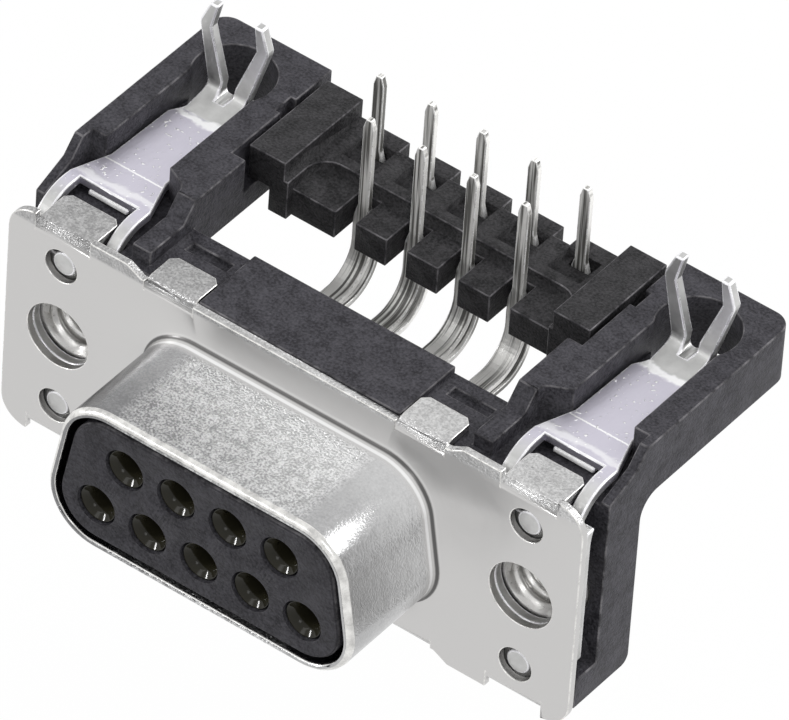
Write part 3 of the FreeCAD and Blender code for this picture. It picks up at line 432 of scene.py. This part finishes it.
def contact_tin():
    """Dull tin over copper alloy strip, with the streaks of the stamping tool along it and the barbs
    painted white as painted highlights.
    """
    material, tree = new_material("tinned_contact_strip")
    place = place_on(tree)
    streaks = grain(tree, STAMPING_STREAK, 1, (1, 40, 40))
    fine = grain(tree, PLATING_GRAIN)
    from_middle = add_node(tree, "Math", (place["X"], CONTACT_SPACING / 4), operation="PINGPONG")
    beyond = add_node(tree, "Math", (from_middle, TAIL_HALF_WIDTH), operation="SUBTRACT")
    beside = add_node(tree, "MapRange", (beyond, BARB_START, BARB_FULL), **SMOOTH)
    above = add_node(tree, "MapRange", (place["Z"], FUNNEL_FLOOR_Z - TAIL_FADE, FUNNEL_FLOOR_Z), **SMOOTH)
    barb_highlights = add_node(tree, "Math", (beside, above), operation="MULTIPLY")
    colour = toned(tree, streaks, "#6f6e6b", "#f6f5f2", 0.42, 0.58)
    # Painted highlight: the barbs beside the tails are painted white.
    colour = add_node(tree, "Mix", (barb_highlights, colour, linear("#ffffff")), data_type="RGBA")
    roughness = add_node(tree, "MapRange", (fine, 0.3, 0.7, 0.36, 0.5))
    add_surface(tree, colour, roughness, 0.45, (streaks, 0.04), (fine, 0.004))
    return material


def shaded_sleeve():
    """The same strip inside the openings, painted near black as the painted shade in them, glossy enough to
    shine in one small streak.
    """
    material, tree = new_material("contact_sleeve_painted_shade")
    # Painted shade: the tin is coloured dark olive for the shade inside the openings.
    colour = toned(tree, grain(tree, SLEEVE_SHADE_BLOTCH, 1), "#211f16", "#2a281d", 0, 1)
    add_surface(tree, colour, 0.12, 0.0, specular=0.2)
    return material


def nickel():
    """Nickel plate over turned steel: warm grey, smooth enough to mirror its own thread."""
    material, tree = new_material("nickel_plated_insert")
    fine = grain(tree, PLATING_GRAIN)
    roughness = add_node(tree, "MapRange", (fine, 0.3, 0.7, 0.26, 0.4))
    add_surface(tree, toned(tree, fine, "#c6c5c3", "#dddcda", 0, 1), roughness, 1.0, (fine, 0.004))
    return material


def black_plastic(name, dark, light, fine_share=0.6, low=0.38, high=0.62):
    """Glass-filled black thermoplastic, moulded: matt, mottled by its flow and its fibres."""
    material, tree = new_material(name)
    fine = grain(tree, FIBRE_GRAIN)
    clouds = grain(tree, MOULD_CLOUD, 4)
    mottled = add_node(tree, "Mix", (fine_share, clouds, fine))
    roughness = add_node(tree, "MapRange", (fine, 0.3, 0.7, 0.42, 0.6))
    add_surface(tree, toned(tree, mottled, dark, light, low, high), roughness, 0.0, (fine, 0.05),
                (clouds, 0.03), specular=0.16)
    return material


# Pieces

def new_piece(name, mesh, finishes, node):
    """A piece of the object, which stands for a CAD node."""
    piece = bpy.data.objects.new(name, mesh)
    bpy.context.scene.collection.objects.link(piece)
    mesh.materials.clear()
    for finish in finishes:
        mesh.materials.append(finish)
    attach(piece, BODY)
    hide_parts(node)
    return piece


def sharp_outside(edge):
    """Whether an edge stands out and is sharp enough to be rounded."""
    if len(edge.link_faces) != 2 or not edge.is_convex:
        return False
    return edge.calc_face_angle() > math.radians(SHARP_ANGLE)


def eased(node, finishes, width, segments, chosen=None, reshape=None, share=None):
    """The CAD solid with its outer edges rounded.

    The finishes are those of its faces, of its edges and, if there are three, of chosen faces. share tells
    how much of the width an edge gets.
    """
    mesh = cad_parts[node].data.copy()
    piece = new_piece(node + "_surface", mesh, finishes, node)
    shape = bmesh.new()
    shape.from_mesh(mesh)
    bmesh.ops.remove_doubles(shape, verts=shape.verts, dist=WELD * MM)
    if reshape:
        reshape(shape)
        shape.normal_update()
    weights = shape.edges.layers.float.new("bevel_weight_edge")
    for edge in shape.edges:
        part = share(edge) if share else 1.0
        edge[weights] = part if sharp_outside(edge) else 0.0
    for face in shape.faces:
        face.smooth = True
        face.material_index = CHOSEN_FACES if chosen and chosen(face.calc_center_median() / MM) else FACES
    shape.to_mesh(mesh)
    shape.free()
    mesh.set_sharp_from_angle(angle=math.radians(SHARP_ANGLE))
    rounding = piece.modifiers.new("rounded_edges", "BEVEL")
    rounding.width = width * MM
    rounding.segments = segments
    rounding.limit_method = "WEIGHT"
    rounding.use_clamp_overlap = False
    rounding.loop_slide = False
    rounding.harden_normals = True
    rounding.material = EDGES


def middle_of(edge):
    return (edge.verts[0].co + edge.verts[1].co) / 2 / MM


def outward(place, direction):
    """Whether a direction points away from the mating axis."""
    return place.x * direction.x + place.z * direction.z > 0


def square_rim(shape):
    """Takes the small chamfer off the shroud's mouth, so that a round roll can take its place."""
    chamfer_end = RIM_FRONT_Y + RIM_CHAMFER
    halfway = RIM_FRONT_Y + RIM_CHAMFER / 2
    outer = [vert for vert in shape.verts
             if abs(vert.co.y / MM - chamfer_end) < ON_CHAMFER and outward(vert.co, vert.normal)]
    front = {edge.other_vert(vert) for vert in outer for edge in vert.link_edges
             if edge.other_vert(vert).co.y / MM < halfway}
    for vert in front:
        nearest = min(outer, key=lambda other: (other.co - vert.co).length)
        vert.co.x, vert.co.z = nearest.co.x, nearest.co.z
    for vert in outer:
        vert.co.y = RIM_FRONT_Y * MM
    bmesh.ops.remove_doubles(shape, verts=shape.verts, dist=WELD * MM)
    bmesh.ops.dissolve_degenerate(shape, edges=shape.edges, dist=WELD / 5 * MM)


def rim_share(edge):
    """The rim has a wide roll, the other edges of the shell a narrow one."""
    middle = middle_of(edge)
    outside = any(outward(middle, face.normal) for face in edge.link_faces)
    return 1.0 if middle.y < RIM_FRONT_Y + ON_FACE and outside else SHELL_EDGE / RIM_ROLL


def at_insulator_face(place):
    return abs(place.y - INSULATOR_FACE_Y) < ON_FACE


def housing_share(edge):
    """The edges of the insulator's face are almost sharp."""
    return OPENING_EDGE_SHARE if at_insulator_face(middle_of(edge)) else 1.0


def opening_centre(place):
    """The centre of the opening nearest to a place on the insulator's face."""
    count, height = (4, ROW_HEIGHT) if place.z > 0 else (5, -ROW_HEIGHT)
    first = -(count - 1) / 2
    step = min(count - 1, max(0, round(place.x / CONTACT_SPACING - first)))
    return Vector(((first + step) * CONTACT_SPACING, place.y, height))


def wider_openings(shape):
    """The nine openings flare slightly towards the insulator's face."""
    for vert in shape.verts:
        place = vert.co / MM
        centre = opening_centre(place)
        away = place - centre
        if at_insulator_face(place) and abs(away.length - OPENING_RADIUS) < ON_OPENING:
            vert.co = (centre + away * (1 + OPENING_FLARE / OPENING_RADIUS)) * MM


def shallow_funnels(shape):
    """The mouths round the rear tails are shallow dishes."""
    for vert in shape.verts:
        if abs(vert.co.z / MM - FUNNEL_FLOOR_Z) < ON_FACE:
            vert.co.z = FUNNEL_DISH_Z * MM


def aligner_share(edge):
    """The dishes round the rear tails keep their sharp edges."""
    middle = middle_of(edge)
    return 0.0 if FUNNEL_FRONT_Y < middle.y < FUNNEL_REAR_Y and middle.z > FUNNEL_FLOOR_Z else 1.0


def in_lip(place):
    """Whether a place is on the sheared lip in the strap's window."""
    return LIP_FRONT_Y < place.y < LIP_REAR_Y and LIP_LOW_Z < place.z < LIP_HIGH_Z


def in_sleeve(place):
    return place.y < SLEEVE_REAR_Y


def contact_share(edge):
    """The sleeves keep their sharp edges."""
    return 0.0 if in_sleeve(middle_of(edge)) else 1.0


def thread_radius(depth, angle):
    """A thread with flat crests and roots, cut outwards from the bore."""
    turn = (depth / THREAD_PITCH + angle / (2 * math.pi)) % 1
    rise = (1 - abs(2 * turn - 1) - THREAD_FLAT_SHARE) / (1 - 2 * THREAD_FLAT_SHARE)
    return INSERT_BORE + THREAD_DEPTH * min(1, max(0, rise))


def threaded_insert(side_name, finishes):
    """The insert with its thread cut in, which the plain bore of the CAD solid stands for."""
    node = "threaded_insert_" + side_name
    low, high = (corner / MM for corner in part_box(node))
    middle = math.copysign(SCREW_X, low.x)
    outer = (high.x - low.x) / 2
    mouth = low.y + THREAD_LEAD_IN
    length = high.y - mouth
    rows = STEPS_PER_PITCH * round((high.y - low.y) / THREAD_PITCH)
    angles = [2 * math.pi * step / ROUND_STEPS for step in range(ROUND_STEPS)]
    plain = ((high.y, outer), (low.y + INSERT_CHAMFER, outer), (low.y, outer - INSERT_CHAMFER),
             (low.y, INSERT_BORE + THREAD_LEAD_IN + THREAD_DEPTH / 2))
    rings = [(depth, [radius] * ROUND_STEPS) for depth, radius in plain]
    for row in range(rows + 1):
        depth = mouth + length * row / rows
        rings.append((depth, [thread_radius(depth, angle) for angle in angles]))

    shape = bmesh.new()
    loops = []
    for depth, radii in rings:
        corners = [Vector((middle + radius * math.cos(angle), depth, radius * math.sin(angle)))
                   for angle, radius in zip(angles, radii)]
        loops.append([shape.verts.new(corner * MM) for corner in corners])
    for before, after in zip(loops, loops[1:] + loops[:1]):
        for step in range(ROUND_STEPS):
            following = (step + 1) % ROUND_STEPS
            shape.faces.new((before[step], before[following], after[following], after[step])).smooth = True
    bmesh.ops.recalc_face_normals(shape, faces=shape.faces)
    mesh = bpy.data.meshes.new(node + "_turned")
    shape.to_mesh(mesh)
    shape.free()
    mesh.set_sharp_from_angle(angle=math.radians(THREAD_SHARP_ANGLE))
    new_piece(node + "_turned", mesh, finishes, node)


def build():
    # The second finish of each metal part is a painted highlight on its rounded edges.
    shell_finishes = (satin_tin(), highlighted_edge_tin("shell_edge_painted_highlight", "#bfbebc", "#f2f1ee"))
    # The third strap finish paints the lip in the window white, a painted highlight on its cut face.
    strap_finishes = (bright_strap_tin(), highlighted_edge_tin("strap_edge_painted_highlight", "#e4e3e7", "#fafafc", 0.5),
                      highlighted_edge_tin("strap_lip_painted_highlight", "#f2f2f2", "#ffffff", 0.2))
    contact_finishes = (contact_tin(), highlighted_edge_tin("contact_edge_painted_highlight", "#e4e3df", "#ffffff", 0.3),
                        shaded_sleeve())
    # Painted highlight: the rounded edges of the mouldings are painted lighter than their faces.
    plastic_edge_highlight = black_plastic("moulding_edge_painted_highlight", "#2e2d30", "#7b797c", 0.1, 0.4, 0.7)
    housing_finishes = (black_plastic("black_insulator_moulding", "#232226", "#47464b"), plastic_edge_highlight)
    aligner_finishes = (black_plastic("black_aligner_moulding", "#19191a", "#3c3b3d"), plastic_edge_highlight)
    insert_finishes = (nickel(),)
    eased("front_shell", shell_finishes, RIM_ROLL, segments=4,
          reshape=square_rim, share=rim_share)
    eased("insulator_housing", housing_finishes, HOUSING_EDGE, segments=2,
          reshape=wider_openings, share=housing_share)
    eased("tail_aligner", aligner_finishes, ALIGNER_EDGE, segments=2,
          reshape=shallow_funnels, share=aligner_share)
    for side_name in ("left", "right"):
        eased("ground_strap_" + side_name, strap_finishes, STRAP_EDGE, segments=3,
              chosen=in_lip)
        threaded_insert(side_name, insert_finishes)
    for place in range(1, 10):
        eased("contact_%d" % place, contact_finishes, CONTACT_EDGE, segments=2,
              chosen=in_sleeve, share=contact_share)


add_camera()
add_world(WORLD_BRIGHTNESS)
add_floor()
add_softbox("key", (-0.82, -0.47, 0.32), 35, 60, brightness=90)
add_softbox("corner_light", (0.53, 0.61, 0.59), 190, 190, brightness=7)
add_softbox("front_light", (0.51, -0.61, 0.61), 140, 140, brightness=3)
add_softbox("edge_light", (-0.42, -0.65, 0.6), 300, 60, brightness=2.5)
add_softbox("top_fill", (-0.1, 0.3, 0.95), 500, 500, brightness=1.6, reflected=False)
add_softbox("side_fill", (0.95, 0.1, 0.1), 500, 500, brightness=1.6, reflected=False)
build()
